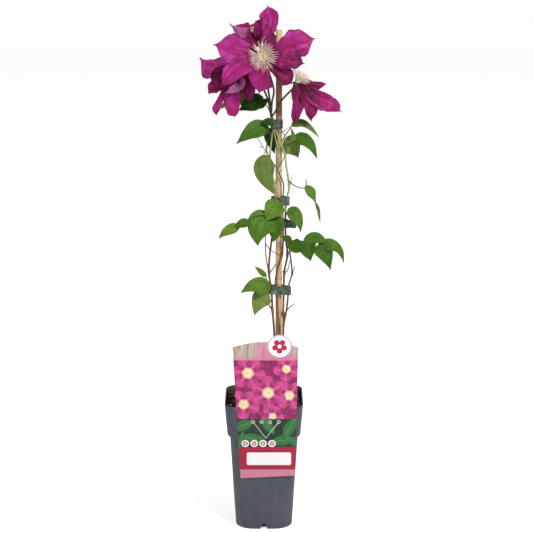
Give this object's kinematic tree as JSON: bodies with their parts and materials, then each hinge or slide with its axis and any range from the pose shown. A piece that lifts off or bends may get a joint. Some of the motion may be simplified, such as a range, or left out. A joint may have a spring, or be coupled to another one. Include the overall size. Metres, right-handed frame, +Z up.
{
  "type": "potted climbing clematis",
  "caption": "Flowering clematis vine tied up a bamboo cane in a tall square nursery pot, with a printed plant label on the pot's front.",
  "frame": {"origin": "on the floor, under the middle of the square pot", "axes": "+Z up, +X to the right and +Y away from the viewer who faces the label side of the pot"},
  "size_m": [0.1991, 0.1197, 0.7315],
  "materials": {
    "pot_plastic": "satin",
    "potting_mix": "matte",
    "bamboo": "satin",
    "tape_plastic": "satin",
    "label_card": "gloss",
    "ripe_wood": "matte",
    "leaf_green": "satin",
    "sepal_magenta": "matte",
    "stamen_cream": "matte"
  },
  "bodies": {
    "root": {"pot": "pot_plastic", "soil": "potting_mix", "cane": "bamboo", "tie_tape_1": "tape_plastic", "tie_tape_2": "tape_plastic", "tie_tape_3": "tape_plastic", "tie_tape_4": "tape_plastic", "label": "label_card", "woody_stems": "ripe_wood", "green_shoots": "leaf_green", "leaf_spray_left": "leaf_green", "leaf_right": "leaf_green", "leaf_spray_right": "leaf_green", "leaf_pair_low": "leaf_green", "leaf_left_small": "leaf_green", "bloom_a_sepals": "sepal_magenta", "bloom_a_stamens": "stamen_cream", "bloom_b_sepals": "sepal_magenta", "bloom_b_stamens": "stamen_cream", "bloom_c_sepals": "sepal_magenta", "bloom_c_stamens": "stamen_cream", "bloom_d_sepals": "sepal_magenta", "bloom_d_stamens": "stamen_cream"}
  },
  "joints": []
}
